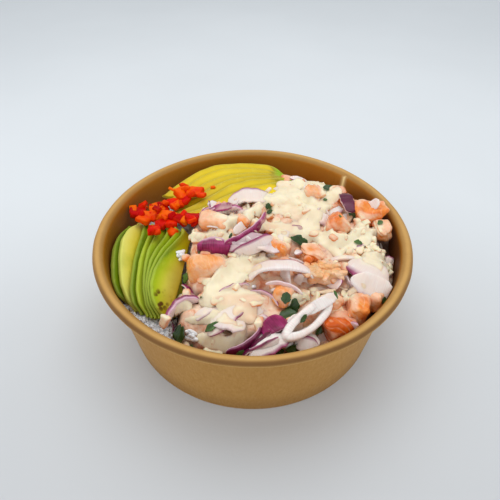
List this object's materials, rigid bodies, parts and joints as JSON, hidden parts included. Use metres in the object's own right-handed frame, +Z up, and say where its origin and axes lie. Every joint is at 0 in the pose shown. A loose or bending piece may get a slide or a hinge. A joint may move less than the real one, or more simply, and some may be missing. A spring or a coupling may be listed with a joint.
{
  "type": "ceviche rice bowl",
  "caption": "Round paper bowl of rice topped with creamy salmon ceviche, sliced red onion, fanned avocado slices and chopped red chilli.",
  "frame": {"origin": "on the surface the bowl stands on, at the centre of its round foot", "axes": "+Z up through the bowl's axis, +Y towards the back of the bowl, +X to its right as pictured"},
  "size_m": [0.185, 0.185, 0.0739],
  "materials": {
    "kraft_paper": "uncoated brown kraft paper with a lighter rolled rim",
    "rice": "steamed white rice, slightly moist",
    "dressed_mix": "small fish and onion pieces coated in dressing",
    "salmon": "raw cured salmon, moist",
    "red_onion": "translucent white flesh with a purple skin side",
    "avocado": "ripe flesh, yellow inside and green at the skin side",
    "chilli": "wet chopped red chilli",
    "cream_sauce": "pale cream dressing, satin",
    "green_herb": "chopped coriander leaf"
  },
  "bodies": {
    "root": {"bowl": "kraft_paper", "rice": "rice", "ceviche_mix": "dressed_mix", "avocado_back_01": "avocado", "avocado_back_02": "avocado", "avocado_back_03": "avocado", "avocado_back_04": "avocado", "avocado_back_05": "avocado", "avocado_back_06": "avocado", "avocado_front_01": "avocado", "avocado_front_02": "avocado", "avocado_front_03": "avocado", "avocado_front_04": "avocado", "avocado_front_05": "avocado", "avocado_front_06": "avocado", "avocado_front_07": "avocado", "avocado_front_08": "avocado", "chilli_01": "chilli", "chilli_02": "chilli", "chilli_03": "chilli", "chilli_04": "chilli", "chilli_05": "chilli", "chilli_06": "chilli", "chilli_07": "chilli", "chilli_08": "chilli", "chilli_09": "chilli", "onion_01": "red_onion", "onion_02": "red_onion", "onion_03": "red_onion", "onion_04": "red_onion", "onion_05": "red_onion", "onion_06": "red_onion", "onion_07": "red_onion", "onion_08": "red_onion", "onion_09": "red_onion", "onion_10": "red_onion", "onion_11": "red_onion", "onion_12": "red_onion", "onion_13": "red_onion", "onion_14": "red_onion", "onion_15": "red_onion", "salmon_01": "salmon", "salmon_02": "salmon", "salmon_03": "salmon", "salmon_04": "salmon", "salmon_05": "salmon", "salmon_06": "salmon", "salmon_07": "salmon", "salmon_08": "salmon", "salmon_09": "salmon", "salmon_10": "salmon", "salmon_11": "salmon", "salmon_12": "salmon", "salmon_13": "salmon", "salmon_14": "salmon", "salmon_15": "salmon", "salmon_16": "salmon", "salmon_17": "salmon", "salmon_18": "salmon"}
  },
  "joints": []
}
